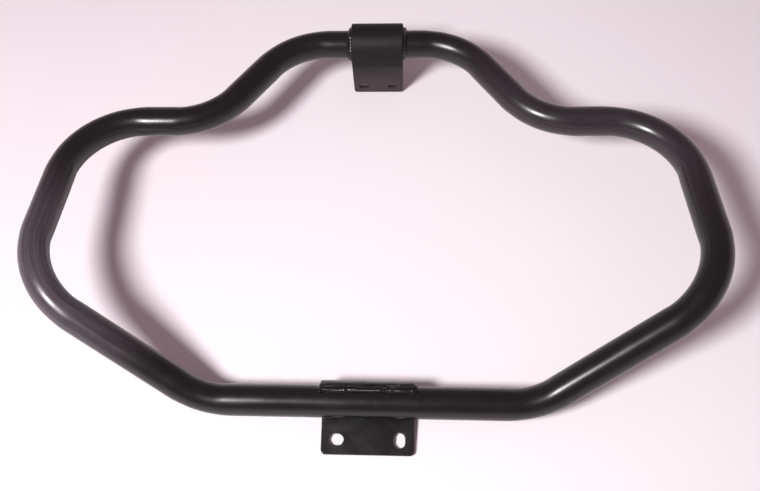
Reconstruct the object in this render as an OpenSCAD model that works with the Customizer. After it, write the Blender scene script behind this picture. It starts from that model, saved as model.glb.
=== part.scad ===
// Engine guard for a motorcycle: one steel tube bent into a closed, two-lobed loop,
// with a saddle bracket on its top straight and a folded plate under its bottom straight.
// The loop is drawn in its own flat frame: X across, Y from the bottom straight to the top
// straight, Z out of the plane of the two straights. It is then tipped about X so that it lies
// on the two edges that touch the ground, the near edge of the plate and the foot of the tab.

/* [Tube] */
// Outer diameter of the tube
tube_od = 31.75; // [28:0.05:35]
// Wall thickness of the tube
tube_wall = 2.5; // [1.6:0.1:4]
// Centreline radius of every bend
bend_r = 82.55; // [70:0.05:92]
// How much the tube draws in through a bend, in radius
bend_draw = 0.05; // [0.03:0.01:0.2]
// Gap between the two tube ends, filled by the closing weld
root_gap = 2; // [1.2:0.1:4]

/* [Loop] */
// Height of the top straight above the bottom straight
loop_h = 411; // [396:0.5:426]
// Half length of the top straight, to its corner
top_half = 96.5; // [87:0.5:106]
// Inner shoulder corner, across
dip_x = 175.5; // [168:0.5:184]
// Inner shoulder corner, up
dip_y = 300; // [290:0.5:310]
// Inner shoulder corner, out of plane
dip_z = 20; // [0:0.5:38]
// Outer shoulder corner, across
lobe_x = 322; // [313:0.5:342]
// Outer shoulder corner, up
lobe_y = 297.5; // [289:0.5:308]
// Outer shoulder corner, out of plane
lobe_z = 25; // [8:0.5:45]
// Knee corner, across
knee_x = 335.5; // [324:0.5:350]
// Knee corner, up
knee_y = 96; // [84:0.5:108]
// Knee corner, out of plane
knee_z = 77.5; // [55:0.5:94]
// Half length of the bottom straight, to its corner
bottom_half = 164.5; // [155:0.5:178]

/* [Upper bracket] */
// Width of the saddle bracket along the tube
upper_w = 59; // [55:1:72]
// Offset of the bracket along the tube from the middle of the loop
upper_shift = 2; // [-5:0.5:5]
// Thickness of its plate
upper_t = 5; // [4:0.5:7]
// Room of the saddle bend over the tube, in radius
saddle_play = 1.5; // [0.5:0.1:4]
// Foot of the tab below the tube's axis
tab_drop = 71.5; // [65:0.5:82]
// Length of the short leg behind the tube
back_leg = 6; // [2:1:12]
// Corner radius of the tab and of the short leg
upper_corner_r = 3.5; // [2:0.5:6]
// Diameter of the round hole
upper_hole_d = 9.5; // [8:0.1:11]
// Length of the slot, end to end
upper_slot_l = 13; // [12:0.1:15]
// Distance between the hole and the slot
upper_hole_pitch = 33.5; // [30:0.5:36]
// Height of the hole line above the foot of the tab
upper_hole_rise = 13.5; // [10:0.5:18]

/* [Lower bracket] */
// Distance between the slot centres
lower_hole_pitch = 62.5; // [56:0.5:66]
// Plate beyond the slot centres at each side
lower_margin = 14.75; // [13:0.25:19]
// Thickness of its plate
lower_t = 4.5; // [4:0.5:7]
// Reach of the plate from the tube's axis to its near edge
lower_reach = 49; // [46:1:58]
// Height of the fold's top edge above the tube's axis
fold_top = 7.5; // [3:0.5:9]
// Corner radius of the plate
lower_corner_r = 4.5; // [2:0.5:7]
// Width of both slots
lower_slot_w = 11.7; // [9:0.1:13]
// Length of both slots, end to end
lower_slot_l = 15.2; // [14:0.1:18]
// Distance of the slot centres from the near edge
lower_hole_inset = 14.5; // [13:0.5:18]

/* [Welds] */
// Clearance between the tube and what is seated on it
seat_gap = 0.15; // [0.1:0.05:0.4]
// Radius of the beads round the sides of the saddle
saddle_bead_r = 4.2; // [3.5:0.1:5]
// Radius of the bead along the top of the fold
fold_bead_r = 5; // [4.2:0.1:6]
// Reach of the outer runs past the sides of the plate
fold_over = 3; // [0:0.5:5]
// Radius of the stitches between the plate and the tube
plate_bead_r = 5; // [4.2:0.1:6]
// Length of one stitch between the plate and the tube
stitch_l = 15; // [12:1:21]

/* [Hidden] */
$fn = 72;

black_coat = [0.12, 0.11, 0.12];
bead_coat = [0.16, 0.15, 0.16];
far = 200;

tube_r = tube_od / 2;
tube_in_r = tube_r - tube_wall;
seat_r = tube_r + seat_gap;
// How far a straight runs on into the bend after it
joint_lap = 0.4;

// Right half of the loop from the bottom to the top, and the whole loop from one tube end to the other
right_corners = [
    [bottom_half, 0, 0],
    [knee_x, knee_y, knee_z],
    [lobe_x, lobe_y, lobe_z],
    [dip_x, dip_y, dip_z],
    [top_half, loop_h, 0]
];
half_count = len(right_corners);
left_corners = [for (i = [half_count - 1:-1:0]) mirrored(right_corners[i])];
route = concat([[root_gap / 2, 0, 0]], right_corners, left_corners, [[-root_gap / 2, 0, 0]]);
last = len(route) - 1;

// Saddle: its bend is centred so that the tab's inner face sits against the near side of the tube
saddle_in_r = seat_r + saddle_play;
saddle_out_r = saddle_in_r + upper_t;
saddle_y = loop_h + saddle_in_r - seat_r;
tab_face_y = saddle_y - saddle_out_r;

// Folded plate: its bend is concentric with the tube, and its width follows from its slots
fold_out_r = seat_r + lower_t;
lower_w = lower_hole_pitch + 2 * lower_margin;

// Tip angle at rest, from the foot of the tab and the near edge of the plate
rest_tilt = atan((tab_drop - fold_out_r) / (tab_face_y + lower_reach));
rest_lift = lower_reach * sin(rest_tilt) + fold_out_r * cos(rest_tilt);
near_y = -lower_reach * cos(rest_tilt) + seat_r * sin(rest_tilt);
far_y = (saddle_y + saddle_out_r) * cos(rest_tilt) + back_leg * sin(rest_tilt);
rest_shift = -(near_y + far_y) / 2;

// Start and end angles of the saddle's side beads, from +Y towards +Z
saddle_bead_from = -8;
saddle_bead_to = 200;
// Place of the fold's bead on the tube, from +Y towards +Z
fold_bead_angle = 36;
// Distance of the stitches from the tube's axis
plate_bead_y = -0.83 * tube_r;
fold_run_split = lower_w / 5;
fold_run_end = lower_w / 2 + fold_over - fold_bead_r;
stitch_step = (lower_w - stitch_l) / 2;

function mirrored(p) = [-p.x, p.y, p.z];
function unit(v) = v / norm(v);
function leg_dir(i) = unit(route[i + 1] - route[i]);
function turn_angle(i) = acos(leg_dir(i - 1) * leg_dir(i));
// Distance from a corner to where its bend starts and ends, zero at the tube's ends
function setback(i) = i == 0 || i == last ? 0 : bend_r * tan(turn_angle(i) / 2);
// Matrix that carries X, Y and Z to three unit vectors at a point
function place(ex, ey, ez, p) = [
    [ex.x, ey.x, ez.x, p.x],
    [ex.y, ey.y, ez.y, p.y],
    [ex.z, ey.z, ez.z, p.z],
    [0, 0, 0, 1]
];

// Lays the flat frame down as the guard rests on the ground
module at_rest() {
    translate([0, rest_shift, rest_lift]) rotate([rest_tilt, 0, 0]) children();
}

// Straight stretch between two corners of the route, run on by a lap at a bend and by end_lap at a tube end
module straight(i, r, end_lap) {
    dir = leg_dir(i);
    across = unit(cross(dir, [0, 0, 1]));
    lap_in = i == 0 ? end_lap : joint_lap;
    lap_out = i == last - 1 ? end_lap : joint_lap;
    length = norm(route[i + 1] - route[i]) - setback(i) - setback(i + 1);
    multmatrix(place(across, cross(dir, across), dir, route[i] + dir * (setback(i) - lap_in)))
        cylinder(r = r, h = length + lap_in + lap_out);
}

// Bend at a corner, turned from the leg before it to the leg after it and drawn in a little
module bend(i, r) {
    dir = leg_dir(i - 1);
    next = leg_dir(i);
    inward = unit(next - dir * (dir * next));
    centre = route[i] - dir * setback(i) + inward * bend_r;
    multmatrix(place(-inward, dir, cross(-inward, dir), centre))
        rotate_extrude(angle = turn_angle(i)) translate([bend_r, 0]) circle(r = r - bend_draw);
}

// Whole route as a solid rod of radius r
module rod(r, end_lap) {
    for (i = [0:last - 1]) straight(i, r, end_lap);
    for (i = [1:last - 1]) bend(i, r);
}

// Square block with its corner at the origin, less a quarter disc, to cut a rounded corner
module corner_cut(r, depth) {
    difference() {
        translate([0, 0, -depth]) cube([r + 1, r + 1, 2 * depth]);
        translate([0, 0, -depth - 1]) cylinder(r = r, h = 2 * depth + 2);
    }
}

// Slot through a plate, along X, centred at the origin
module slot(length, width, depth) {
    half = (length - width) / 2;
    for (s = [-1, 1]) translate([s * half, 0, -depth]) cylinder(d = width, h = 2 * depth);
    translate([-half, -width / 2, -depth]) cube([2 * half, width, 2 * depth]);
}

// Rod with round ends along X, from x0 to x1 at a point of the YZ plane
module bead(x0, x1, y, z, r) {
    translate([x0, y, z]) rotate([0, 90, 0]) cylinder(r = r, h = x1 - x0);
    for (x = [x0, x1]) translate([x, y, z]) sphere(r = r);
}

// Room that the tube takes, for cutting the welds on a straight at height y
module tube_room(y) {
    translate([-far, y, 0]) rotate([0, 90, 0]) cylinder(r = tube_r, h = 2 * far);
}

module main_tube() {
    color(black_coat) at_rest() difference() {
        rod(tube_r, 0);
        rod(tube_in_r, joint_lap);
    }
}

// Ring of weld metal between the two tube ends, ground flush with the tube
module closing_weld() {
    color(black_coat) at_rest()
        translate([-root_gap / 2, 0, 0]) rotate([0, 90, 0]) difference() {
            cylinder(r = tube_r, h = root_gap);
            translate([0, 0, -1]) cylinder(r = tube_in_r, h = root_gap + 2);
        }
}

// Saddle over the tube with a long tab on its near side and a short leg behind
module saddle_plate() {
    translate([-upper_w / 2, saddle_y, 0]) rotate([90, 0, 90])
        rotate_extrude(angle = 180) translate([saddle_in_r, 0]) square([upper_t, upper_w]);
    translate([-upper_w / 2, tab_face_y, -tab_drop]) cube([upper_w, upper_t, tab_drop]);
    translate([-upper_w / 2, saddle_y + saddle_in_r, -back_leg]) cube([upper_w, upper_t, back_leg]);
}

module upper_bracket() {
    corner_x = upper_w / 2 - upper_corner_r;
    tab_mid_y = tab_face_y + upper_t / 2;
    leg_mid_y = saddle_y + saddle_in_r + upper_t / 2;
    color(black_coat) at_rest() translate([upper_shift, 0, 0]) difference() {
        saddle_plate();
        for (s = [-1, 1]) {
            translate([s * corner_x, tab_mid_y, upper_corner_r - tab_drop])
                rotate([-90, 0, 0]) mirror([s < 0 ? 1 : 0, 0, 0]) corner_cut(upper_corner_r, upper_t);
            translate([s * corner_x, leg_mid_y, upper_corner_r - back_leg])
                rotate([-90, 0, 0]) mirror([s < 0 ? 1 : 0, 0, 0]) corner_cut(upper_corner_r, upper_t);
        }
        translate([upper_hole_pitch / 2, tab_mid_y, upper_hole_rise - tab_drop])
            rotate([90, 0, 0]) cylinder(d = upper_hole_d, h = 2 * upper_t, center = true);
        translate([-upper_hole_pitch / 2, tab_mid_y, upper_hole_rise - tab_drop])
            rotate([90, 0, 0]) slot(upper_slot_l, upper_hole_d, upper_t);
    }
}

// Fillet bead round the tube against one side of the saddle
module saddle_weld(side) {
    color(bead_coat) at_rest() difference() {
        translate([upper_shift + side * upper_w / 2, loop_h, 0]) rotate([90, 0, 90]) rotate([0, 0, saddle_bead_from])
            rotate_extrude(angle = saddle_bead_to - saddle_bead_from)
                translate([tube_r, 0]) circle(r = saddle_bead_r);
        tube_room(loop_h);
        translate([upper_shift + (side > 0 ? upper_w / 2 - far : -upper_w / 2), loop_h - far / 2, -far / 2])
            cube([far, far, far]);
    }
}

module upper_weld_left() saddle_weld(-1);
module upper_weld_right() saddle_weld(1);

// Flat plate under the tube, bent up round the far side of the tube
module folded_plate() {
    translate([-lower_w / 2, -lower_reach, -fold_out_r]) cube([lower_w, lower_reach, lower_t]);
    translate([-lower_w / 2, 0, 0]) rotate([90, 0, 90]) rotate([0, 0, -90])
        rotate_extrude(angle = 90) translate([seat_r, 0]) square([lower_t, lower_w]);
    translate([-lower_w / 2, seat_r, 0]) cube([lower_w, lower_t, fold_top]);
}

module lower_bracket() {
    corner_x = lower_w / 2 - lower_corner_r;
    hole_y = lower_hole_inset - lower_reach;
    base_z = -seat_r - lower_t / 2;
    color(black_coat) at_rest() difference() {
        folded_plate();
        for (s = [-1, 1]) {
            translate([s * corner_x, lower_corner_r - lower_reach, base_z])
                mirror([s < 0 ? 1 : 0, 0, 0]) mirror([0, 1, 0]) corner_cut(lower_corner_r, lower_t);
            translate([s * corner_x, seat_r + lower_t / 2, fold_top - lower_corner_r])
                rotate([90, 0, 0]) mirror([s < 0 ? 1 : 0, 0, 0]) corner_cut(lower_corner_r, lower_t);
        }
        translate([-lower_hole_pitch / 2, hole_y, base_z])
            slot(lower_slot_l, lower_slot_w, lower_t);
        translate([lower_hole_pitch / 2, hole_y, base_z])
            rotate([0, 0, 90]) slot(lower_slot_l, lower_slot_w, lower_t);
    }
}

// Run of weld along the top edge of the fold, before it is cut by its neighbour
module fold_run(x0, x1) {
    difference() {
        bead(x0, x1, tube_r * cos(fold_bead_angle), tube_r * sin(fold_bead_angle), fold_bead_r);
        tube_room(0);
        folded_plate();
    }
}

module fold_weld_middle() {
    color(bead_coat) at_rest() fold_run(-fold_run_split, fold_run_split);
}

// Outer run, cut where it meets the middle one
module fold_weld_side(side) {
    x0 = side > 0 ? fold_run_split : -fold_run_end;
    x1 = side > 0 ? fold_run_end : -fold_run_split;
    color(bead_coat) at_rest() difference() {
        fold_run(x0, x1);
        bead(-fold_run_split, fold_run_split, tube_r * cos(fold_bead_angle),
            tube_r * sin(fold_bead_angle), fold_bead_r);
    }
}

module fold_weld_left() fold_weld_side(-1);
module fold_weld_right() fold_weld_side(1);

// Stitch in the groove between the plate and the near side of the tube
module plate_weld(x_mid) {
    half = stitch_l / 2 - plate_bead_r;
    color(bead_coat) at_rest() difference() {
        bead(x_mid - half, x_mid + half, plate_bead_y, -seat_r, plate_bead_r);
        tube_room(0);
        translate([-far, -far / 2, -seat_r - far]) cube([2 * far, far, far]);
    }
}

module plate_weld_left() plate_weld(-stitch_step);
module plate_weld_middle() plate_weld(0);
module plate_weld_right() plate_weld(stitch_step);

main_tube();
closing_weld();
upper_bracket();
upper_weld_left();
upper_weld_right();
lower_bracket();
fold_weld_left();
fold_weld_middle();
fold_weld_right();
plate_weld_left();
plate_weld_middle();
plate_weld_right();
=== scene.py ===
import math

import bpy
import numpy as np
from bpy.props import FloatProperty, FloatVectorProperty, IntProperty, PointerProperty
from bpy.types import Operator, Panel, PropertyGroup
from mathutils import Matrix
from mathutils.geometry import delaunay_2d_cdt


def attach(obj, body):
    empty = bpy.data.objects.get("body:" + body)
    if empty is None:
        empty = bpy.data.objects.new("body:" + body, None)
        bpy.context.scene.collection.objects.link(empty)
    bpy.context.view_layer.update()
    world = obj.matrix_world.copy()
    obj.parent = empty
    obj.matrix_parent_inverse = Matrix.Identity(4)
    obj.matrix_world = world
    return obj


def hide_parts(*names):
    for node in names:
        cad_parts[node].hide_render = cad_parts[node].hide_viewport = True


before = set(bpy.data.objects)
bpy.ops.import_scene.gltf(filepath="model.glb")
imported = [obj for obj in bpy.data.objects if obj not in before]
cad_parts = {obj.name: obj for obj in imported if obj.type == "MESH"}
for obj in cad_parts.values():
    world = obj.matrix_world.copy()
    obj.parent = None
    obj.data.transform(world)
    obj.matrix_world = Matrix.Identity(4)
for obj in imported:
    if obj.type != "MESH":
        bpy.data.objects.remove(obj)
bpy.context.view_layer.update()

bl_info = {
    "name": "Motorcycle Crash Bar",
    "version": (1, 0, 0),
    "blender": (4, 5, 0),
    "location": "View3D > Sidebar > Crash Bar",
    "description": "Dresses the packed crash bar with its coated tube, brackets, weld beads and stage",
    "category": "Object",
}

MM = 0.001

# Depth by which weld metal is set into what it joins, so that no gap shows under it
SINK = 0.4 * MM
# Distance between two rings on a straight stretch of the tube
STRAIGHT_STEP = 12 * MM
# Turn at each end of a bend over which it flattens
BEND_RAMP = math.radians(8)
# Points in the quarter turn that rounds a plate's cut edge, in the corner of a plate's outline, round a
# slot and round a weld bead
EDGE_POINTS = 6
CORNER_POINTS = 9
SLOT_POINTS = 48
BEAD_POINTS = 40
# Largest rounding of a slot's edge, which is sharper than a plate's outline
SLOT_EDGE = 0.8 * MM
# Centre of each painted sheen on the tube, and the distances from it at which the painted sheen is full and
# gone
KNEE_PLACE = ((-0.318, -0.1, 0.1), 30 * MM, 155 * MM)
SHOULDER_PLACE = ((0.27, 0.14, 0.08), 80 * MM, 240 * MM)
# Heights over the floor at which the painted reflection of the sheet on the saddle's tab begins and is full
TAB_PAINTED_REFLECTION_HEIGHTS = (60 * MM, 20 * MM)

# Right half of the loop's corners in its own flat frame, bottom to top, in millimetres:
# X across, Y from the bottom straight to the top straight, Z out of the plane of the two
RIGHT_CORNERS = np.array([
    [164.5, 0.0, 0.0],
    [335.5, 96.0, 77.5],
    [322.0, 297.5, 25.0],
    [175.5, 300.0, 20.0],
    [96.5, 411.0, 0.0],
])


def linear(hex_colour):
    """sRGB hex to linear RGBA: c / 12.92 up to 0.04045, else ((c + 0.055) / 1.055) to the power 2.4."""
    values = np.array([int(hex_colour[i:i + 2], 16) for i in (1, 3, 5)]) / 255
    low = values / 12.92
    high = ((values + 0.055) / 1.055) ** 2.4
    return (*np.where(values <= 0.04045, low, high).tolist(), 1.0)


def millimetres(name, description, default, low, high):
    """A length that a user may change, given in millimetres."""
    return FloatProperty(
        name=name, description=description, default=default * MM, min=low * MM, max=high * MM, unit="LENGTH")


def fraction(name, description, default, high=1.0):
    """A share that a user may change, from nothing up to a highest value."""
    return FloatProperty(
        name=name, description=description, default=default, min=0.0, max=high, subtype="FACTOR")


def colour(name, description, hex_colour):
    """A colour that a user may change, given as sRGB hex."""
    return FloatVectorProperty(
        name=name, description=description, default=linear(hex_colour), size=4, min=0.0, max=1.0,
        subtype="COLOR")


class GuardTube(PropertyGroup):
    """Sizes of the bent tube and of its closing weld"""

    diameter: millimetres("Diameter", "Outer diameter of the tube", 31.75, 20, 50)
    bend_radius: millimetres("Bend radius", "Centreline radius of every bend", 82.55, 70, 100)
    bend_draw: millimetres("Bend draw", "How much the tube draws in through a bend, in radius", 0.05, 0, 1)
    flattening: fraction("Flattening", "Share by which a bend is thinner in its own plane", 0.042, 0.1)
    around: IntProperty(
        name="Points around", description="Points round the tube", default=112, min=24, max=160)
    bend_step: FloatProperty(
        name="Bend step", description="Turn between two rings of a bend",
        default=math.radians(1.6), min=0.01, max=0.2, subtype="ANGLE")
    seam_width: millimetres("Seam width", "Width of the ground band over the closing weld", 15, 4, 30)
    seam_crown: millimetres("Seam crown", "How far the ground closing weld stands proud", 0.12, 0, 1)


class GuardSaddle(PropertyGroup):
    """Sizes of the saddle bracket over the top straight"""

    width: millimetres("Width", "Width of the saddle bracket along the tube", 59, 50, 80)
    offset: millimetres(
        "Offset", "Offset of the bracket along the tube from the middle of the loop", 2, -5, 5)
    thickness: millimetres("Thickness", "Thickness of the saddle's plate", 5, 3, 10)
    play: millimetres("Play", "Room of the saddle bend over the tube, in radius", 1.5, 0, 5)
    drop: millimetres("Tab drop", "Foot of the tab below the tube's axis", 71.5, 50, 90)
    back_leg: millimetres("Back leg", "Length of the short leg behind the tube", 6, 0, 20)
    corner: millimetres("Corner radius", "Corner radius of the tab and of the short leg", 3.5, 1, 10)
    hole: millimetres("Hole", "Diameter of the round hole and width of the slot", 9.5, 6, 14)
    slot: millimetres("Slot length", "Length of the slot, end to end", 13, 10, 20)
    pitch: millimetres("Hole pitch", "Distance between the hole and the slot", 33.5, 30, 45)
    rise: millimetres("Hole rise", "Height of the hole line above the foot of the tab", 13.5, 8, 20)
    edge: millimetres("Edge rounding", "Radius that the coat gives the plate's cut edges", 1.6, 0.1, 2.5)


class GuardPlate(PropertyGroup):
    """Sizes of the folded plate under the bottom straight"""

    pitch: millimetres("Slot pitch", "Distance between the slot centres", 62.5, 50, 80)
    margin: millimetres("Margin", "Plate beyond the slot centres at each side", 14.75, 10, 20)
    thickness: millimetres("Thickness", "Thickness of the folded plate", 4.5, 3, 10)
    reach: millimetres("Reach", "Reach of the plate from the tube's axis to its near edge", 49, 40, 70)
    wrap: FloatProperty(
        name="Wrap", description="How far the fold follows the tube up from the level of its axis",
        default=math.radians(44), min=0.0, max=1.0, subtype="ANGLE")
    corner: millimetres("Corner radius", "Corner radius of the plate", 4.5, 1, 10)
    slot_width: millimetres("Slot width", "Width of both slots", 11.7, 8, 15)
    slot_length: millimetres("Slot length", "Length of both slots, end to end", 15.2, 12, 20)
    slot_inset: millimetres("Slot inset", "Distance of the slot centres from the near edge", 14.5, 10, 20)
    edge: millimetres("Edge rounding", "Radius that the coat gives the plate's cut edges", 1.0, 0.1, 2.5)


class GuardWelds(PropertyGroup):
    """Sizes of the weld beads"""

    seat_gap: millimetres("Seat gap", "Clearance between the tube and what is seated on it", 0.15, 0, 1)
    saddle_radius: millimetres(
        "Saddle bead", "Radius of the beads round the sides of the saddle", 4.2, 2, 6)
    fold_radius: millimetres("Fold bead", "Radius of the bead along the top of the fold", 4.7, 3, 7)
    fold_over: millimetres(
        "Fold overrun", "Reach of the fold's outer runs past the sides of the plate", 3, 0, 5)
    stitch_radius: millimetres("Stitch", "Radius of the stitches between the plate and the tube", 5, 3, 7)
    stitch_length: millimetres(
        "Stitch length", "Length of one stitch between the plate and the tube", 15, 10, 25)
    ripple_pitch: millimetres("Ripple pitch", "Distance between two ripples of a bead", 2.6, 1, 5)
    ripple_height: millimetres("Ripple height", "Height of a ripple over the bead", 0.3, 0, 1)


class GuardFinish(PropertyGroup):
    """Colours and roughness of the coats, and the painted sheen and painted reflection laid over them"""

    tube_colour: colour("Tube colour", "Coat on the tube", "#121111")
    saddle_colour: colour("Saddle colour", "Coat on the saddle bracket", "#131011")
    plate_colour: colour("Plate colour", "Coat on the folded plate", "#0d0b0b")
    bead_colour: colour("Bead colour", "Coat on the weld beads", "#110f10")
    # Painted light: the tube's grey is a painted pale sheen on the left knee and the right shoulder, and the
    # saddle's brownish colour is a painted reflection of the pale sheet on its tab
    tube_painted_sheen: colour("Tube film", "Grey film on the left knee and the right shoulder", "#6e636e")
    saddle_painted_reflection: colour("Saddle film", "Brownish film on the tab of the saddle bracket", "#765f65")
    tube_roughness: fraction("Tube roughness", "Roughness of the coat on the tube", 0.27)
    # Strengths of the painted sheen on the tube and of the painted reflection on the saddle's tab
    knee_painted_sheen: fraction("Knee film", "Strength of the grey film on the left knee", 0.36)
    shoulder_painted_sheen: fraction("Shoulder film", "Strength of the grey film on the right shoulder", 0.13)
    tab_painted_reflection: fraction("Tab film", "Strength of the film at the foot of the saddle's tab", 0.2)
    saddle_roughness: fraction("Saddle roughness", "Roughness of the coat on the saddle bracket", 0.56)
    plate_roughness: fraction("Plate roughness", "Roughness of the coat on the folded plate", 0.33)
    bead_roughness: fraction("Bead roughness", "Roughness of the coat on the weld beads", 0.2)


class GuardStage(PropertyGroup):
    """Floor sheet, lamp and room"""

    floor_size: millimetres("Floor size", "Side of the square floor", 24000, 2000, 60000)
    sheet_near: colour("Sheet near the lamp", "Floor sheet on the left, near the lamp", "#e9e1e5")
    sheet_far: colour("Sheet far from the lamp", "Floor sheet on the right, far from the lamp", "#fbf8fa")
    room_low: colour("Room near the horizon", "Light of the room from low down", "#efdae2")
    room_high: colour("Room above", "Light of the room from above", "#8e7981")
    key_colour: colour("Key lamp colour", "Colour of the main lamp", "#fffdfe")
    key_place: FloatVectorProperty(
        name="Key lamp place", description="Place of the main lamp",
        default=(-0.792, -0.763, 1.465), subtype="TRANSLATION", unit="LENGTH")
    key_size: millimetres("Key lamp size", "Diameter of the main lamp's disc", 420, 50, 2000)
    key_power: FloatProperty(
        name="Key lamp power", description="Power of the main lamp in watts",
        default=36.0, min=0.0, max=500.0)


def add(tree, kind, inputs=None, **settings):
    """Adds a node with its settings, and links or sets each input, given by its name or number."""
    made = tree.nodes.new(kind)
    for name, value in settings.items():
        setattr(made, name, value)
    for key, value in (inputs or {}).items():
        if isinstance(value, bpy.types.NodeSocket):
            tree.links.new(value, made.inputs[key])
        else:
            made.inputs[key].default_value = value
    return made


def smooth_rise(tree, value, start, end, most=1.0):
    """A smooth rise from nothing to its most, while a value goes from its start to its end."""
    made = add(tree, "ShaderNodeMapRange", {
        "Value": value, "From Min": start, "From Max": end, "To Max": most}, interpolation_type="SMOOTHSTEP")
    return made.outputs["Result"]


def spread_noise(tree, noise, low, high):
    """The middle of a noise, which lies between 0.3 and 0.7, spread from a low value to a high one."""
    made = add(tree, "ShaderNodeMapRange", {
        "Value": noise.outputs["Fac"], "From Min": 0.3, "From Max": 0.7, "To Min": low, "To Max": high})
    return made.outputs["Result"]


def mix_colours(tree, amount, first, second):
    """One colour turned into another by an amount that varies."""
    made = add(tree, "ShaderNodeMix", {"Factor": amount, "A": first, "B": second}, data_type="RGBA")
    return made.outputs["Result"]


def coordinate(tree, place, axis):
    """One coordinate of a place."""
    return add(tree, "ShaderNodeSeparateXYZ", {"Vector": place}).outputs[axis]


def empty_tree(owner):
    """The node tree of a material or a world, with its first nodes taken out."""
    owner.use_nodes = True
    owner.node_tree.nodes.clear()
    return owner.node_tree


def into_scene(name, data):
    """A new object with its data, linked into the scene."""
    made = bpy.data.objects.new(name, data)
    bpy.context.scene.collection.objects.link(made)
    return made


def unit(vectors):
    """Each vector divided by its length."""
    return vectors / np.linalg.norm(vectors, axis=-1, keepdims=True)


def ring_round(across, up, angle):
    """Directions across cos v + up sin v, for each row of across and up and each angle v."""
    return across[:, None] * np.cos(angle)[:, None] + up[:, None] * np.sin(angle)[:, None]


def tube_and_seat():
    """Radius of the tube, and of the round that is seated on it with the seat's gap."""
    radius = bpy.context.scene.guard_tube.diameter / 2
    return radius, radius + bpy.context.scene.guard_welds.seat_gap


def rest_pose():
    """Tilt, shift and lift that lay the flat frame down on the plate's near edge and the tab's foot.

    tilt = atan((drop - fold outside) / (tab face + reach)), the slope of the line from edge to foot."""
    saddle = bpy.context.scene.guard_saddle
    plate = bpy.context.scene.guard_plate
    seat = tube_and_seat()[1]
    fold_outside = seat + plate.thickness
    saddle_outside = seat + saddle.play + saddle.thickness
    saddle_axis = RIGHT_CORNERS[-1, 1] * MM + saddle.play
    tab_face = saddle_axis - saddle_outside
    tilt = math.atan((saddle.drop - fold_outside) / (tab_face + plate.reach))
    lift = plate.reach * math.sin(tilt) + fold_outside * math.cos(tilt)
    near = seat * math.sin(tilt) - plate.reach * math.cos(tilt)
    far = (saddle_axis + saddle_outside) * math.cos(tilt) + saddle.back_leg * math.sin(tilt)
    return tilt, -(near + far) / 2, lift


def turned(vectors):
    """Vectors of the flat frame turned about X by the rest tilt."""
    tilt = rest_pose()[0]
    turn = np.array([
        [1, 0, 0],
        [0, math.cos(tilt), -math.sin(tilt)],
        [0, math.sin(tilt), math.cos(tilt)],
    ])
    return np.asarray(vectors) @ turn.T


def at_rest(points):
    """Points of the flat frame, in metres, turned about X and then shifted and lifted to the rest place."""
    tilt, shift, lift = rest_pose()
    return turned(points) + np.array([0, shift, lift])


def grid_faces(rows, columns, rows_close, columns_close):
    """Quads of a grid numbered row by row; a side that closes joins its last line to its first."""
    row = np.arange(rows if rows_close else rows - 1)
    column = np.arange(columns if columns_close else columns - 1)
    row, column = np.meshgrid(row, column, indexing="ij")
    next_row = (row + 1) % rows
    next_column = (column + 1) % columns
    corners = [
        row * columns + column,
        next_row * columns + column,
        next_row * columns + next_column,
        row * columns + next_column,
    ]
    return np.stack(corners, -1).reshape(-1, 4)


def outward(points, faces):
    """Faces turned over where the closed surface's volume, the sum of p0 . (p1 x p2) / 6, is negative."""
    volume = 0.0
    for i in range(1, faces.shape[1] - 1):
        a, b, c = points[faces[:, 0]], points[faces[:, i]], points[faces[:, i + 1]]
        volume += np.einsum("ij,ij->", a, np.cross(b, c)) / 6
    return faces if volume > 0 else faces[:, ::-1]


def add_piece(name, points, face_sets, material, nodes, normals=None):
    """Puts points and faces into a smooth mesh object that rides on the frame in place of its CAD nodes."""
    mesh = bpy.data.meshes.new(name)
    sizes = np.concatenate([np.full(len(faces), faces.shape[1]) for faces in face_sets])
    corners = np.concatenate([faces.ravel() for faces in face_sets])
    mesh.vertices.add(len(points))
    mesh.vertices.foreach_set("co", np.ascontiguousarray(points, np.float32).ravel())
    mesh.loops.add(len(corners))
    mesh.loops.foreach_set("vertex_index", corners.astype(np.int32))
    mesh.polygons.add(len(sizes))
    mesh.polygons.foreach_set("loop_start", (np.cumsum(sizes) - sizes).astype(np.int32))
    mesh.polygons.foreach_set("use_smooth", np.ones(len(sizes), bool))
    mesh.update(calc_edges=True)
    if mesh.validate():
        raise RuntimeError(f"{name}: the mesh had faces that aren't valid")
    if normals is not None:
        mesh.normals_split_custom_set_from_vertices(np.asarray(normals, float).tolist())
    mesh.materials.append(material)
    piece = into_scene(name, mesh)
    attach(piece, "root")
    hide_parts(*nodes)
    return piece


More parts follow.
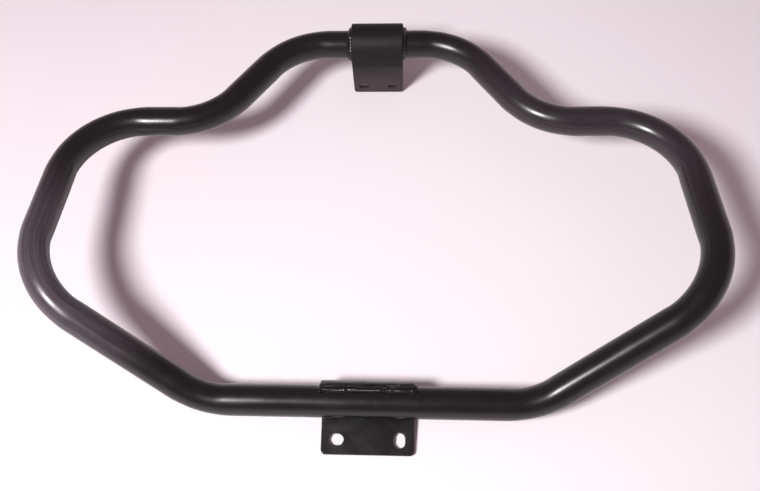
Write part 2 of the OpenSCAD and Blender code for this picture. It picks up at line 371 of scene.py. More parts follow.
def powder_coat(name, part, specular, peel_height, smudge):
    """Semi-gloss black polyester powder coat, sprayed on and baked over blasted steel.

    Returns the material, its shader, its base colour and the place on the piece, for painted light laid over
    it."""
    finish = bpy.context.scene.guard_finish
    base = getattr(finish, part + "_colour")
    roughness = getattr(finish, part + "_roughness")
    material = bpy.data.materials.new(name)
    tree = empty_tree(material)
    place = add(tree, "ShaderNodeTexCoord").outputs["Object"]
    # Orange peel of the baked coat: waves 2.5 mm long and some hundredths high make reflections waver
    peel = add(tree, "ShaderNodeTexNoise", {
        "Vector": place, "Scale": 1 / (2.5 * MM), "Detail": 2.0, "Roughness": 0.4})
    # Wiping marks 25 mm long: slightly duller and shinier patches that break up a broad reflection
    wipe = add(tree, "ShaderNodeTexNoise", {
        "Vector": place, "Scale": 1 / (25 * MM), "Detail": 4.0, "Distortion": 0.6})
    relief = add(tree, "ShaderNodeBump", {
        "Height": peel.outputs["Fac"], "Strength": 1.0, "Distance": peel_height})
    shader = add(tree, "ShaderNodeBsdfPrincipled", {
        "Base Color": base, "Roughness": spread_noise(tree, wipe, roughness - smudge, roughness + smudge),
        "IOR": 1.5, "Specular IOR Level": specular, "Normal": relief.outputs["Normal"]})
    add(tree, "ShaderNodeOutputMaterial", {"Surface": shader.outputs["BSDF"]})
    return material, shader, base, place


def lay_painted_light(tree, shader, base, sheen, amount):
    """Mixes the colour of painted light over a coat's base colour by an amount that varies over the piece."""
    tree.links.new(mix_colours(tree, amount, base, sheen), shader.inputs["Base Color"])


def painted_sheen_patch(tree, place, centre, full, none, strength):
    """Strength of a painted sheen at a place: full within one distance of a centre, and none beyond another.
    """
    away = add(tree, "ShaderNodeVectorMath", {0: place, 1: centre}, operation="DISTANCE")
    return smooth_rise(tree, away.outputs["Value"], none, full, strength)


def tube_coat():
    """The coat on the drawn tube: smooth, so the lamp leaves narrow bright lines along it.

    A pale grey sheen is painted on the left knee, and a fainter one on the right shoulder."""
    name = "Semi-gloss black powder coat on drawn tube"
    found = bpy.data.materials.get(name)
    if found:
        return found
    finish = bpy.context.scene.guard_finish
    material, shader, base, place = powder_coat(name, "tube", 0.5, 0.02 * MM, 0.05)
    tree = material.node_tree
    # Painted pale sheen: full near the left knee and the right shoulder, and fading away from them
    sheen = add(tree, "ShaderNodeMath", {
        0: painted_sheen_patch(tree, place, *KNEE_PLACE, finish.knee_painted_sheen),
        1: painted_sheen_patch(tree, place, *SHOULDER_PLACE, finish.shoulder_painted_sheen)}, operation="ADD")
    # Streaks in the painted sheen that follow the tube, about 2.4 mm across and 62.5 mm long
    run = add(tree, "ShaderNodeAttribute", attribute_name="run")
    stretch = add(tree, "ShaderNodeMapping", {
        "Vector": run.outputs["Vector"], "Scale": (16.0, 420.0, 420.0)})
    streak = add(tree, "ShaderNodeTexNoise", {
        "Vector": stretch.outputs["Vector"], "Scale": 1.0, "Detail": 3.0})
    amount = add(tree, "ShaderNodeMath", {
        0: sheen.outputs["Value"], 1: spread_noise(tree, streak, 0.6, 1.4)},
        operation="MULTIPLY", use_clamp=True)
    lay_painted_light(tree, shader, base, finish.tube_painted_sheen, amount.outputs["Value"])
    return material


def saddle_coat():
    """The coat on the saddle bracket: the dullest, so the lamp leaves only a faint broad band on its bend.

    A brownish reflection of the pale sheet is painted down its tab, which makes the tab a little paler than
    the bend."""
    name = "Satin black powder coat on bent saddle"
    found = bpy.data.materials.get(name)
    if found:
        return found
    finish = bpy.context.scene.guard_finish
    material, shader, base, place = powder_coat(name, "saddle", 0.3, 0.03 * MM, 0.06)
    tree = material.node_tree
    # Painted reflection of the pale sheet, growing down the tab towards the floor
    amount = smooth_rise(tree, coordinate(tree, place, "Z"), *TAB_PAINTED_REFLECTION_HEIGHTS, finish.tab_painted_reflection)
    lay_painted_light(tree, shader, base, finish.saddle_painted_reflection, amount)
    return material


def plate_coat():
    """The coat on the folded plate: semi-gloss, with wiping marks that break up the room's reflection."""
    name = "Semi-gloss black powder coat on folded plate"
    return bpy.data.materials.get(name) or powder_coat(name, "plate", 0.46, 0.03 * MM, 0.09)[0]


def bead_coat():
    """The coat on weld metal: it runs thick over the ripples and looks wetter."""
    name = "Semi-gloss black powder coat on weld beads"
    return bpy.data.materials.get(name) or powder_coat(name, "bead", 0.5, 0.02 * MM, 0.04)[0]


def loop_line(bend_radius, turn_step, straight_step):
    """Points, directions, ways to the bend's centre and bend share along the closed centreline.

    A leg between two corners is a straight, cut back at each corner by bend radius x tan(turn / 2). A bend is
    centre - inward x R cos(a) + dir x R sin(a), for a from 0 to its turn."""
    left = RIGHT_CORNERS[::-1] * [-1, 1, 1]
    corners = np.concatenate([RIGHT_CORNERS, left]) * MM
    leg_in = unit(corners - np.roll(corners, 1, axis=0))
    leg_out = np.roll(leg_in, -1, axis=0)
    turn = np.arccos(np.einsum("ij,ij->i", leg_in, leg_out))
    setback = bend_radius * np.tan(turn / 2)
    inward = unit(leg_out - leg_in * np.cos(turn)[:, None])
    starts = corners - leg_in * setback[:, None]
    ends = corners + leg_out * setback[:, None]
    points, directions, ways, shares = [], [], [], []
    for i in range(len(corners)):
        count = max(4, round(turn[i] / turn_step))
        angle = np.linspace(0, turn[i], count + 1)[:, None]
        centre = starts[i] + inward[i] * bend_radius
        points.append(centre + bend_radius * (leg_in[i] * np.sin(angle) - inward[i] * np.cos(angle)))
        directions.append(leg_in[i] * np.cos(angle) + inward[i] * np.sin(angle))
        ways.append(inward[i] * np.cos(angle) - leg_in[i] * np.sin(angle))
        shares.append(np.clip(np.minimum(angle, turn[i] - angle)[:, 0] / BEND_RAMP, 0, 1))
        run = starts[(i + 1) % len(corners)] - ends[i]
        count = max(2, round(np.linalg.norm(run) / straight_step))
        along = np.linspace(0, 1, count + 1)[1:-1, None]
        points.append(ends[i] + run * along)
        directions.append(np.repeat(leg_out[i][None], len(along), axis=0))
        ways.append(np.repeat(inward[i][None], len(along), axis=0))
        shares.append(np.zeros(len(along)))
    return [np.concatenate(part) for part in (points, directions, ways, shares)]


class GUARD_OT_tube(Operator):
    """Sweeps the closed tube along its bent centreline"""

    bl_idname = "guard.tube"
    bl_label = "Bent Tube"

    def execute(self, context):
        """S(u, v) = P(u) + r(u) (q - f (q . w) w), where q = across cos v + up sin v and w points to the
        bend's centre. Inside a bend r is less by the draw, and f is the flattening; on a straight f is 0."""
        tube = context.scene.guard_tube
        centre, along, way, share = loop_line(tube.bend_radius, tube.bend_step, STRAIGHT_STEP)
        across = unit(np.cross(along, [0, 0, 1]))
        up = np.cross(across, along)
        radius = tube.diameter / 2 - tube.bend_draw * share
        angle = np.linspace(0, 2 * math.pi, tube.around, endpoint=False)
        ring = ring_round(across, up, angle)
        toward = np.einsum("ijk,ik->ij", ring, way) * (tube.flattening * share)[:, None]
        ring -= toward[..., None] * way[:, None]
        points = at_rest(centre[:, None] + radius[:, None, None] * ring).reshape(-1, 3)
        faces = outward(points, grid_faces(len(centre), tube.around, True, True))
        piece = add_piece("bent_tube", points, [faces], tube_coat(), ["main_tube"])
        # Straightened place of each point, for the streaks in the painted sheen: distance along, then its
        # place in the section
        step = np.linalg.norm(np.diff(centre, axis=0), axis=-1)
        length = np.concatenate([[0], np.cumsum(step)])[:, None] + 0 * angle
        section = radius[:, None] * np.stack([np.cos(angle) + 0 * length, np.sin(angle) + 0 * length])
        run = np.stack([length, section[0], section[1]], -1)
        kept = piece.data.attributes.new("run", "FLOAT_VECTOR", "POINT")
        kept.data.foreach_set("vector", run.astype(np.float32).ravel())
        return {"FINISHED"}


class GUARD_OT_closing_weld(Operator):
    """Makes the ground band over the weld that joins the tube's two ends"""

    bl_idname = "guard.closing_weld"
    bl_label = "Closing Weld"

    def execute(self, context):
        """A ring: radius = tube radius - sink + (crown + waves) (1 - (x / half)^2) outside, and less by the
        skin's depth inside. The waves are grinding marks."""
        tube = context.scene.guard_tube
        half = tube.seam_width / 2
        radius = tube.diameter / 2
        sink, skin, wave_height = 0.04 * MM, 1 * MM, 0.02 * MM
        x = np.linspace(-half, half, 25)
        angle = np.linspace(0, 2 * math.pi, tube.around, endpoint=False)
        share = x[:, None] / half
        waves = wave_height * np.sin(share * 7 + 2 * np.sin(3 * angle)) * np.cos(2 * angle + 1)
        outside = radius - sink + (tube.seam_crown + waves) * (1 - share ** 2)
        inside = radius - skin + 0 * outside
        distance = np.concatenate([outside, inside])
        place = np.concatenate([x, x[::-1]])[:, None] + 0 * angle
        points = np.stack([place, distance * np.cos(angle), distance * np.sin(angle)], -1).reshape(-1, 3)
        points = at_rest(points)
        faces = outward(points, grid_faces(2 * len(x), tube.around, True, True))
        add_piece("ground_seam", points, [faces], tube_coat(), ["closing_weld"])
        return {"FINISHED"}


def rounded_outline(length, half_width, corner, step):
    """Loop of (s, x) round a rectangle 0..length by +-half_width, its corners rounded, and its normals."""
    edges = []
    centres = [
        (length - corner, half_width - corner, 0), (corner, half_width - corner, 90),
        (corner, corner - half_width, 180), (length - corner, corner - half_width, 270)]
    for i, (s, x, start) in enumerate(centres):
        angle = np.radians(start + np.linspace(0, 90, CORNER_POINTS))
        normal = np.stack([np.cos(angle), np.sin(angle)], -1)
        arc = np.array([s, x]) + corner * normal
        following = centres[(i + 1) % 4]
        end = np.array(following[:2]) + corner * normal[-1]
        count = max(2, round(float(np.linalg.norm(end - arc[-1])) / step))
        share = np.linspace(0, 1, count + 1)[1:-1, None]
        side = arc[-1] + (end - arc[-1]) * share
        edges.append((arc, normal))
        edges.append((side, np.repeat(normal[-1:], len(side), axis=0)))
    return np.concatenate([e[0] for e in edges]), np.concatenate([e[1] for e in edges])


def slot_outline(centre, length, width, along_x):
    """Loop of (s, x) round a slot with round ends, and its normals, which point into the slot."""
    angle = np.linspace(0, 2 * math.pi, SLOT_POINTS, endpoint=False) + math.pi / SLOT_POINTS
    normal = np.stack([np.cos(angle), np.sin(angle)], -1)
    axis = np.array([0, 1]) if along_x else np.array([1, 0])
    side = np.sign(normal @ axis)[:, None]
    return np.asarray(centre) + width / 2 * normal + side * axis * (length - width) / 2, -normal


def coated_plate(loops, keep, thickness, grid, bend):
    """A cut plate with rounded edges, bent by a map from (s, x, t) to space. Each loop has its own rounding.

    Each rim is loop - normal x edge (1 - cos a) at t = +-(thickness / 2 - edge) + edge sin a, a quarter
    turn at each face. The two faces are filled between the rims, with grid points that follow the bend."""
    turn = np.radians(np.linspace(0, 90, EDGE_POINTS))
    angle = np.concatenate([-turn[::-1], turn])
    last_row = len(angle) - 1
    flat, lean, faces = [], [], []
    first, rims = 0, {0: [], last_row: []}
    for loop, normal, edge in loops:
        level = np.repeat([edge - thickness / 2, thickness / 2 - edge], EDGE_POINTS) + edge * np.sin(angle)
        ring = loop[None] - normal[None] * (edge * (1 - np.cos(angle)))[:, None, None]
        height = np.repeat(level[:, None], len(loop), axis=1)
        aside = normal[None] * np.cos(angle)[:, None, None]
        tilt = np.repeat(np.sin(angle)[:, None], len(loop), axis=1)
        flat.append(np.concatenate([ring, height[..., None]], -1).reshape(-1, 3))
        lean.append(np.concatenate([aside, tilt[..., None]], -1).reshape(-1, 3))
        faces.append(first + grid_faces(len(angle), len(loop), False, True))
        for row in rims:
            rims[row].append(first + row * len(loop) + np.arange(len(loop)))
        first += len(angle) * len(loop)
    caps = []
    for row, side in ((0, -1), (last_row, 1)):
        rim_points = np.concatenate(flat)[np.concatenate(rims[row])][:, :2]
        starts = np.cumsum([0] + [len(rim) for rim in rims[row]])
        rings = [np.arange(start, end) for start, end in zip(starts, starts[1:])]
        joined = np.concatenate([np.stack([ring, np.roll(ring, -1)], -1) for ring in rings])
        plane = np.concatenate([rim_points, grid]) / MM
        _, _, filled, kept, _, _ = delaunay_2d_cdt(plane.tolist(), joined.tolist(), [], 0, 1e-5)
        source = np.array([first_of[0] for first_of in kept])
        filled = source[np.array(filled)]
        filled = filled[keep(plane[filled].mean(1) * MM)]
        numbers = np.concatenate([np.concatenate(rims[row]), first + np.arange(len(grid))])
        flat.append(np.concatenate([grid, np.full((len(grid), 1), side * thickness / 2)], -1))
        lean.append(np.repeat([[0.0, 0.0, side]], len(grid), axis=0))
        first += len(grid)
        caps.append(numbers[filled])
    flat, lean = np.concatenate(flat), np.concatenate(lean)
    points, normals = bend(flat, lean)
    quads = np.concatenate(faces)
    triangles = np.concatenate(caps)
    # Every face is turned to look the way that its corners' normals do
    for part in (quads, triangles):
        facing = np.cross(points[part[:, 1]] - points[part[:, 0]], points[part[:, 2]] - points[part[:, 0]])
        wrong = np.einsum("ij,ij->i", facing, normals[part].mean(1)) < 0
        part[wrong] = part[wrong][:, ::-1]
    return points, normals, [quads, triangles]


def plate_grid(half_width, steps, columns=25):
    """Points (s, x) over a plate in columns across it, closer together along s where steps asks."""
    s = np.concatenate([np.arange(start, end, step) for start, end, step in steps])
    x = np.linspace(-half_width, half_width, columns + 2)[1:-1]
    s, x = np.meshgrid(s, x, indexing="ij")
    return np.stack([s.ravel(), x.ravel()], -1)


def inside_plate(points, length, half_width, corner, slots, gap):
    """True where (s, x) is in the rounded rectangle and out of every slot, by more than gap."""
    centre = np.array([length / 2, 0])
    q = np.abs(points - centre) - (np.array([length / 2, half_width]) - corner)
    distance = np.linalg.norm(np.maximum(q, 0), axis=-1) + np.minimum(q.max(-1), 0) - corner
    inside = distance < -gap
    for place, long, wide, along_x in slots:
        away = points - np.asarray(place)
        axis = 1 if along_x else 0
        away[:, axis] -= np.clip(away[:, axis], -(long - wide) / 2, (long - wide) / 2)
        inside &= np.linalg.norm(away, axis=-1) > wide / 2 + gap
    return inside


def build_plate(name, nodes, coat, length, half_width, corner, slots, thickness, edge, steps, bend):
    """Makes one coated plate from its flat outline, its slots and its bend."""
    def keep(points, gap=0.0):
        """True where (s, x) is on the plate's metal."""
        return inside_plate(points, length, half_width, corner, slots, gap)

    outline_step, grid_gap = 1.6 * MM, 0.7 * MM
    loops = [(*rounded_outline(length, half_width, corner, outline_step), edge)]
    loops += [(*slot_outline(*slot), min(edge, SLOT_EDGE)) for slot in slots]
    grid = plate_grid(half_width, steps)
    grid = grid[keep(grid, edge + grid_gap)]
    points, normals, faces = coated_plate(loops, keep, thickness, grid, bend)
    add_piece(name, at_rest(points), faces, coat, nodes, turned(normals))


def wrap_round(s, start, middle, most, out, ahead):
    """Where a plate's middle surface is at s, and its directions out and ahead there.

    It turns by a = (s - start) / middle, from 0 to most: out' = out cos a + ahead sin a and
    ahead' = ahead cos a - out sin a. Before and after the turn it runs on straight."""
    turn = np.clip((s - start) / middle, 0, most)
    cos = np.cos(turn)[:, None]
    sin = np.sin(turn)[:, None]
    out, ahead = np.array(out), np.array(ahead)
    out, ahead = out * cos + ahead * sin, ahead * cos - out * sin
    return out * middle + ahead * (s - start - turn * middle)[:, None], out, ahead


class GUARD_OT_saddle(Operator):
    """Makes the bracket that is bent over the top straight, with its long tab and its short leg"""

    bl_idname = "guard.saddle"
    bl_label = "Saddle Bracket"

    def execute(self, context):
        """s runs from the tab's foot up the tab, half round the tube and down the short leg."""
        saddle = context.scene.guard_saddle
        seat = tube_and_seat()[1]
        middle = seat + saddle.play + saddle.thickness / 2
        axis = RIGHT_CORNERS[-1, 1] * MM + saddle.play
        arc = math.pi * middle
        length = saddle.drop + arc + saddle.back_leg
        side = np.array([1.0, 0.0, 0.0])
        # The crown's turn, its start below the bend, how fast it comes in, and its end inside the bend
        crown_turn, crown_start, crown_rise, crown_end = math.radians(20), 15 * MM, 2 * MM, 12 * MM

        def bend(flat, lean):
            """Tab: z = s - drop. Saddle: half a turn about its axis. Leg: down again."""
            s, x, t = flat.T
            points, out, ahead = wrap_round(s, saddle.drop, middle, math.pi, (0, -1, 0), (0, 0, 1))
            points += out * t[:, None] + np.stack([x + saddle.offset, 0 * x + axis, 0 * x], -1)
            # The top of the flat tab is shaded as if it leant back a little, by its normals only
            crown = crown_turn * np.clip((s - saddle.drop + crown_start) / crown_rise, 0, 1)
            crown = (crown * np.clip((saddle.drop + crown_end - s) / crown_end, 0, 1))[:, None]
            facing = out * np.cos(crown) + ahead * np.sin(crown) * np.sign(lean[:, 2:])
            normals = ahead * lean[:, :1] + side * lean[:, 1:2] + facing * lean[:, 2:]
            return points, unit(normals)

        # Centre (s, x), length, width, and whether it is long in x
        slots = [
            ((saddle.rise, saddle.pitch / 2), saddle.hole, saddle.hole, True),
            ((saddle.rise, -saddle.pitch / 2), saddle.slot, saddle.hole, True),
        ]
        # Start, end and step of the grid's rows, closest where the plate bends
        steps = [
            (1.5 * MM, saddle.drop - 1 * MM, 3 * MM),
            (saddle.drop, saddle.drop + arc, 1.4 * MM),
            (saddle.drop + arc + 0.5 * MM, length, 2 * MM),
        ]
        build_plate(
            "saddle_bracket", ["upper_bracket"], saddle_coat(), length, saddle.width / 2, saddle.corner,
            slots, saddle.thickness, saddle.edge, steps, bend)
        return {"FINISHED"}


class GUARD_OT_folded_plate(Operator):
    """Makes the plate under the bottom straight, folded up behind it"""

    bl_idname = "guard.folded_plate"
    bl_label = "Folded Plate"

    def execute(self, context):
        """s runs from the near edge under the tube, a quarter turn round it and on over its back."""
        plate = context.scene.guard_plate
        seat = tube_and_seat()[1]
        middle = seat + plate.thickness / 2
        most = math.pi / 2 + plate.wrap
        length = plate.reach + most * middle
        half_width = plate.pitch / 2 + plate.margin
        side = np.array([1.0, 0.0, 0.0])

        def bend(flat, lean):
            """Plate: y = s - reach. Fold: turned about the tube's axis."""
            s, x, t = flat.T
            points, out, ahead = wrap_round(s, plate.reach, middle, most, (0, 0, -1), (0, 1, 0))
            points += out * t[:, None] + side * x[:, None]
            normals = ahead * lean[:, :1] + side * lean[:, 1:2] + out * lean[:, 2:]
            return points, normals

        # Centre (s, x), length, width, and whether it is long in x
        slots = [
            ((plate.slot_inset, -plate.pitch / 2), plate.slot_length, plate.slot_width, True),
            ((plate.slot_inset, plate.pitch / 2), plate.slot_length, plate.slot_width, False),
        ]
        # Start, end and step of the grid's rows, closest where the plate bends
        steps = [
            (1.5 * MM, plate.reach - 1 * MM, 3 * MM),
            (plate.reach, length, 1.4 * MM),
        ]
        build_plate(
            "folded_plate", ["lower_bracket"], plate_coat(), length, half_width, plate.corner,
            slots, plate.thickness, plate.edge, steps, bend)
        return {"FINISHED"}


def weld_bead(centre, across, up, radius, seed, end_swell, squareness=2.0):
    """Surface of a hand-laid bead: S(u, v) = C(u) + r(u, v) (across cos v + up sin v).

    r = radius / (|cos v|^n + |sin v|^n)^(1/n), a circle for a squareness n of 2 and a steeper-sided bead
    above that. It falls to nothing at each end as a half circle does. On it lie ripples, bowed along the
    bead, of height h (1 - |sin(pi s / pitch)|), a slow wander of the width, and a lump at each end."""
    welds = bpy.context.scene.guard_welds
    across = np.broadcast_to(across, centre.shape)
    up = np.broadcast_to(up, centre.shape)
    steps = np.linalg.norm(np.diff(centre, axis=0), axis=-1)
    s = np.concatenate([[0], np.cumsum(steps)])
    angle = np.linspace(0, 2 * math.pi, BEAD_POINTS, endpoint=False)
    random = np.random.default_rng(seed)
    phases = random.uniform(0, 2 * math.pi, 6)
    to_end = np.minimum(s, s[-1] - s)
    cap = np.sqrt(np.clip(1 - (1 - np.minimum(to_end / radius, 1)) ** 2, 0, 1))
    # The width wanders by 5 and 3.5 % of the radius, over waves that don't match each other
    wander = 0.05 * np.sin(s / (7.1 * MM) + phases[0]) + 0.035 * np.sin(s / (3.9 * MM) + phases[1])
    swell = end_swell * np.exp(-((to_end - 0.8 * radius) / (0.6 * radius)) ** 2)
    # Each ripple is bowed back by 0.9 mm over the crown and wavers by 0.35 mm along the bead
    bowed = s[:, None] - 0.9 * MM * np.cos(angle - math.pi / 2) ** 2
    bowed = bowed + 0.35 * MM * np.sin(s[:, None] / (5.3 * MM) + phases[2])
    ripple = 1 - np.abs(np.sin(math.pi * bowed / welds.ripple_pitch))
    ripple = welds.ripple_height * (ripple - 0.36) * (1 + 0.5 * np.sin(s[:, None] / (8.7 * MM) + phases[3]))
    lumps = 0.05 * np.sin(2 * angle + s[:, None] / (4.6 * MM) + phases[4])
    section = (np.abs(np.cos(angle)) ** squareness + np.abs(np.sin(angle)) ** squareness) ** (-1 / squareness)
    distance = radius * (1 + wander + swell - 0.06)[:, None] * (1 + lumps) * section + ripple
    distance = distance * cap[:, None]
    return centre[:, None] + distance[..., None] * ring_round(across, up, angle)


def close_bead(grid):
    """Points and faces of a bead whose first and last rings have shrunk to a point each."""
    rows, columns = grid.shape[:2]
    points = np.concatenate([grid[1:-1].reshape(-1, 3), grid[:1, 0], grid[-1:, 0]])
    quads = grid_faces(rows - 2, columns, False, True)
    ring = np.arange(columns)
    near = np.stack([np.roll(ring, -1), ring, np.full(columns, len(points) - 2)], -1)
    far = (rows - 3) * columns + ring
    far = np.stack([far, np.roll(far, -1), np.full(columns, len(points) - 1)], -1)
    caps = np.concatenate([near, far])
    if outward(points, quads) is not quads:
        quads = quads[:, ::-1]
        caps = caps[:, ::-1]
    return points, [quads, caps]


def settle(points, y, floor_radius):
    """Points lifted out of the straight tube at y, to floor_radius from its axis at least."""
    away = points[..., 1:] - np.array([y, 0])
    distance = np.maximum(np.linalg.norm(away, axis=-1, keepdims=True), 1e-6)
    points[..., 1:] += away / distance * np.maximum(floor_radius - distance, 0)
    return points


def spatter(place, radius, seed):
    """Points and faces of a small drop of weld metal: a ball with a slightly uneven radius."""
    random = np.random.default_rng(seed)
    polar = np.linspace(0, math.pi, 11)
    angle = np.linspace(0, 2 * math.pi, 16, endpoint=False)
    shift = random.uniform(0, 2 * math.pi, 3)
    distance = radius * (1 + 0.12 * np.sin(2 * angle + shift[0]) * np.sin(polar)[:, None])
    grid = np.stack([
        distance * np.sin(polar)[:, None] * np.cos(angle),
        distance * np.sin(polar)[:, None] * np.sin(angle),
        radius * np.cos(polar)[:, None] + 0 * angle], -1) + np.asarray(place)
    return close_bead(grid)


def drop_on_tube(x, y, degrees, distance, radius, seed):
    """A drop whose centre is at x along a straight tube at y, up its round by degrees, off its axis."""
    turn = math.radians(degrees)
    return spatter([x, y + distance * math.cos(turn), distance * math.sin(turn)], radius, seed)


def join_parts(parts):
    """Several closed surfaces as one list of points and faces."""
    points, quads, triangles, first = [], [], [], 0
    for part_points, (part_quads, part_triangles) in parts:
        points.append(part_points)
        quads.append(part_quads + first)
        triangles.append(part_triangles + first)
        first += len(part_points)
    return np.concatenate(points), [np.concatenate(quads), np.concatenate(triangles)]


def add_bead(name, node, points, faces):
    """Puts one bead in place of its CAD node."""
    add_piece(name, at_rest(points), faces, bead_coat(), [node])


class GUARD_OT_saddle_welds(Operator):
    """Makes the two fillet beads that join the sides of the saddle to the tube"""

    bl_idname = "guard.saddle_welds"
    bl_label = "Saddle Welds"

    def execute(self, context):
        """Each bead's line is a circle of the tube's radius about the tube's axis, from -8 to 200 degrees."""
        saddle = context.scene.guard_saddle
        tube_radius = tube_and_seat()[0]
        radius = context.scene.guard_welds.saddle_radius
        y = RIGHT_CORNERS[-1, 1] * MM
        # Drops of weld metal stuck to the tube left of the left bead, (off the face, degrees, radius), and
        # how far each stands above the tube, in millimetres
        left_drops = [(5.2, 118, 1.5), (3.6, 126, 1.4), (4.4, 136, 1.2), (7.8, 112, 1.2), (3.2, 146, 1.1)]
        above = 0.8
        beads = [(-1, "upper_weld_left", 3, left_drops), (1, "upper_weld_right", 8, [])]
        for side, node, seed, drops in beads:
            angle = np.radians(np.linspace(-8, 200, 220))
            out = np.stack([0 * angle, np.cos(angle), np.sin(angle)], -1)
            face = saddle.offset + side * saddle.width / 2
            centre = out * tube_radius + np.array([face, y, 0])
            grid = weld_bead(centre, [side, 0.0, 0.0], out, radius, seed, 0.05)
            grid[..., 0] = face + side * np.maximum((grid[..., 0] - face) * side, -SINK)
            grid = settle(grid, y, tube_radius - SINK)
            parts = [close_bead(grid)]
            for i, (off, turn, size) in enumerate(drops):
                distance = tube_radius + (above - size) * MM
                parts.append(drop_on_tube(face - off * MM, y, turn, distance, size * MM, 60 + i))
            add_bead(node.replace("upper", "saddle"), node, *join_parts(parts))
        return {"FINISHED"}


class GUARD_OT_fold_welds(Operator):
    """Makes the three runs of weld along the top edge of the fold"""

    bl_idname = "guard.fold_welds"
    bl_label = "Fold Welds"

    def execute(self, context):
        """Each run's line is straight, on the tube's surface just past the fold's top edge. The runs differ
        in size, and drops of weld metal lie where one run stopped and the next began."""
        plate = context.scene.guard_plate
        welds = context.scene.guard_welds
        tube_radius = tube_and_seat()[0]
        radius = welds.fold_radius
        width = plate.pitch + 2 * plate.margin
        split = width / 5
        end = width / 2 + welds.fold_over - radius
        lean = plate.wrap + math.radians(9)
        up = np.array([0.0, math.cos(lean), math.sin(lean)])
        across = np.array([0.0, -math.sin(lean), math.cos(lean)])
        # A run is flatter than it is wide by the first share. A drop stands above the second share of the
        # run's height, by the last number in millimetres
        flatter, drop_share, above = 0.12, 0.88, 0.9
        # Name, start, stop, seed, share of the radius, and drops as (along, degrees up the tube, radius)
        runs = [
            ("fold_weld_left", -end, -split - 4.5 * MM, 21, 0.95,
             [(-46.0, 62, 2.8), (-44.2, 43, 2.4), (-45.4, 51, 1.6)]),
            ("fold_weld_middle", -split + 1.5 * MM, split - 6.5 * MM, 34, 0.9,
             [(-18.2, 53, 2.3), (16.8, 58, 3.0), (14.6, 50, 1.6)]),
            ("fold_weld_right", split + 1 * MM, end, 55, 1.0,
             [(24.4, 57, 3.0), (30.5, 51, 3.2), (30.0, 43, 2.6), (46.2, 43, 2.8), (47.0, 52, 2.0)]),
        ]
        for node, start, stop, seed, share, drops in runs:
            x = np.linspace(start - radius, stop + radius, 170)
            centre = x[:, None] * [1, 0, 0] + up * tube_radius
            grid = weld_bead(centre, across, up, radius * share, seed, 0.04, 2.6)
            height = (grid - centre[:, None]) @ up
            grid = settle(grid - flatter * height[..., None] * up, 0.0, tube_radius - SINK)
            parts = [close_bead(grid)]
            for i, (along, turn, size) in enumerate(drops):
                distance = tube_radius + drop_share * radius * share + (above - size) * MM
                parts.append(drop_on_tube(along * MM, 0.0, turn, distance, size * MM, seed + i))
            add_bead("run_" + node, node, *join_parts(parts))
        return {"FINISHED"}


class GUARD_OT_plate_stitches(Operator):
    """Makes the three short stitches between the plate and the near side of the tube"""

    bl_idname = "guard.plate_stitches"
    bl_label = "Plate Stitches"

    def execute(self, context):
        """Each stitch's line is straight, in the groove in front of the tube's axis."""
        plate = context.scene.guard_plate
        welds = context.scene.guard_welds
        tube_radius, seat = tube_and_seat()
        radius = welds.stitch_radius
        width = plate.pitch + 2 * plate.margin
        reach = (width - welds.stitch_length) / 2
        # How far in front of the axis the groove's stitches lie, as a share of the tube's radius
        ahead = 0.7
        # Node, place along the tube, seed, share of the radius
        places = [
            ("plate_weld_left", -reach, 5, 0.9),
            ("plate_weld_middle", 0.0, 13, 0.66),
            ("plate_weld_right", reach, 9, 0.7),
        ]
        for node, middle, seed, share in places:
            half = welds.stitch_length / 2
            x = middle + np.linspace(-half, half, 70)
            centre = x[:, None] * [1, 0, 0] + np.array([0, -ahead * tube_radius, -seat])
            grid = weld_bead(centre, [0.0, 1.0, 0.0], [0.0, 0.0, 1.0], radius * share, seed, 0.05)
            grid[..., 2] = np.maximum(grid[..., 2], -seat - SINK)
            grid = settle(grid, 0.0, tube_radius - SINK)
            add_bead("stitch_" + node, node, *close_bead(grid))
        return {"FINISHED"}


def add_lamp(name, place, size, power, tint):
    """A disc lamp at a place, turned to the guard's middle, about halfway up."""
    lamp = bpy.data.lights.new(name, "AREA")
    lamp.shape = "DISK"
    lamp.size = size
    lamp.energy = power
    lamp.color = tint[:3]
    holder = into_scene(name, lamp)
    middle = np.array([0, 0, 60 * MM])
    back = unit(np.asarray(place) - middle)
    right = unit(np.cross([0, 0, 1], back))
    up = np.cross(back, right)
    holder.matrix_world = Matrix([
        [right[0], up[0], back[0], place[0]],
        [right[1], up[1], back[1], place[1]],
        [right[2], up[2], back[2], place[2]],
        [0, 0, 0, 1],
    ])


def floor_cloth():
    """Pale woven cotton sheeting: matt and very slightly pink. Its weave is too fine to show and is left
    out, and a faint mottle stands for it.

    It is a little paler on the right, away from the lamp, so that it shows nearly one level all over."""
    stage = bpy.context.scene.guard_stage
    # Places across the floor, in metres, between which it turns from its tone near the lamp to its far one
    near, far = -0.5, 0.3
    material = bpy.data.materials.new("Pale cotton floor sheet")
    tree = empty_tree(material)
    place = add(tree, "ShaderNodeTexCoord").outputs["Object"]
    mottle = add(tree, "ShaderNodeTexNoise", {"Vector": place, "Scale": 9.0, "Detail": 3.0})
    side = smooth_rise(tree, coordinate(tree, place, "X"), near, far)
    blend = add(tree, "ShaderNodeMix", {"Factor": 0.08, "A": side, "B": mottle.outputs["Fac"]})
    tone = mix_colours(tree, blend.outputs["Result"], stage.sheet_near, stage.sheet_far)
    shader = add(tree, "ShaderNodeBsdfPrincipled", {
        "Base Color": tone, "Roughness": 0.95, "Specular IOR Level": 0.1})
    add(tree, "ShaderNodeOutputMaterial", {"Surface": shader.outputs["BSDF"]})
    return material


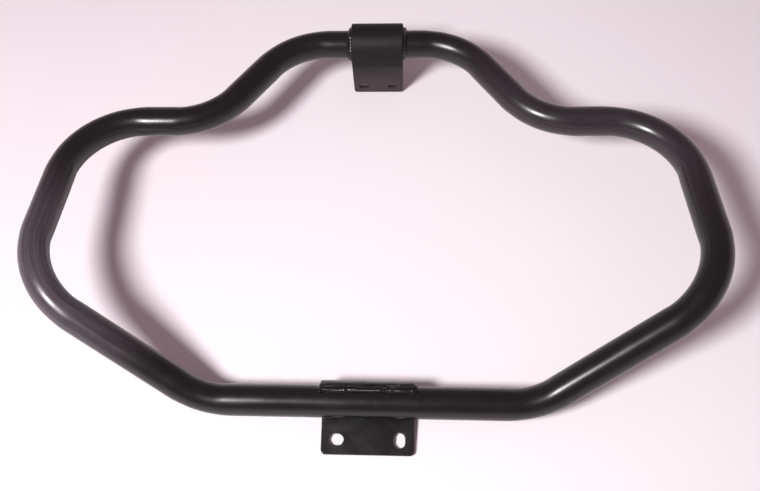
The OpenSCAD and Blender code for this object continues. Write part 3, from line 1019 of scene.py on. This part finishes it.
class GUARD_OT_stage(Operator):
    """Adds the floor, the lamp, the room's light and the camera"""

    bl_idname = "guard.stage"
    bl_label = "Stage"

    def execute(self, context):
        """The camera's place, turn, lens and shift come from a fit of the guard to its photograph."""
        stage = context.scene.guard_stage
        half = stage.floor_size / 2
        mesh = bpy.data.meshes.new("floor")
        corners = [(-half, -half, 0), (half, -half, 0), (half, half, 0), (-half, half, 0)]
        mesh.from_pydata(corners, [], [(0, 1, 2, 3)])
        mesh.materials.append(floor_cloth())
        floor = into_scene("floor", mesh)
        add_lamp("key_lamp", stage.key_place, stage.key_size, stage.key_power, stage.key_colour)
        self.light_room(context)
        self.place_camera(context)
        context.scene.view_settings.view_transform = "Standard"
        return {"FINISHED"}

    def light_room(self, context):
        """The room is pale near the horizon and dimmer above, by the height of the direction looked in."""
        stage = context.scene.guard_stage
        # Sine of the height at which the room begins to dim, and at which it is dimmest
        low, high = 0.02, 0.34
        world = bpy.data.worlds.new("Studio room")
        context.scene.world = world
        tree = empty_tree(world)
        way = add(tree, "ShaderNodeTexCoord").outputs["Generated"]
        height = smooth_rise(tree, coordinate(tree, way, "Z"), low, high)
        tone = mix_colours(tree, height, stage.room_low, stage.room_high)
        light = add(tree, "ShaderNodeBackground", {"Color": tone, "Strength": 1.0})
        add(tree, "ShaderNodeOutputWorld", {"Surface": light.outputs["Background"]})

    def place_camera(self, context):
        """Columns: right, up and back of the view, then its place."""
        camera = bpy.data.cameras.new("camera")
        camera.sensor_width = 36.0
        camera.lens = 40.5431
        camera.shift_x = 0.0288421
        camera.shift_y = -0.0163553
        camera.clip_start = 0.01
        holder = into_scene("camera", camera)
        holder.matrix_world = Matrix([
            [0.99836843, -0.00695365, 0.05667572, 0.037179],
            [0.03254657, 0.88483843, -0.46475981, -0.437094],
            [-0.04691708, 0.46584612, 0.88362107, 0.846039],
            [0, 0, 0, 1],
        ])
        context.scene.camera = holder


class GUARD_PT_panel(Panel):
    """Lists the steps that dress the guard"""

    bl_idname = "GUARD_PT_panel"
    bl_label = "Crash Bar"
    bl_space_type = "VIEW_3D"
    bl_region_type = "UI"
    bl_category = "Crash Bar"

    def draw(self, context):
        """One button for each step."""
        for name in STEPS:
            self.layout.operator("guard." + name)


STEPS = (
    "tube", "closing_weld", "saddle", "folded_plate", "saddle_welds", "fold_welds", "plate_stitches", "stage")
SETTINGS = {
    "guard_tube": GuardTube,
    "guard_saddle": GuardSaddle,
    "guard_plate": GuardPlate,
    "guard_welds": GuardWelds,
    "guard_finish": GuardFinish,
    "guard_stage": GuardStage,
}
CLASSES = (
    *SETTINGS.values(),
    GUARD_OT_tube,
    GUARD_OT_closing_weld,
    GUARD_OT_saddle,
    GUARD_OT_folded_plate,
    GUARD_OT_saddle_welds,
    GUARD_OT_fold_welds,
    GUARD_OT_plate_stitches,
    GUARD_OT_stage,
    GUARD_PT_panel,
)


def register():
    """Registers the classes and hangs each group of settings on the scene."""
    for kind in CLASSES:
        bpy.utils.register_class(kind)
    for name, kind in SETTINGS.items():
        setattr(bpy.types.Scene, name, PointerProperty(type=kind))


def unregister():
    """Takes the settings and the classes out again."""
    for name in SETTINGS:
        delattr(bpy.types.Scene, name)
    for kind in reversed(CLASSES):
        bpy.utils.unregister_class(kind)


def main():
    register()
    for name in STEPS:
        getattr(bpy.ops.guard, name)()


if __name__ == "__main__":
    main()
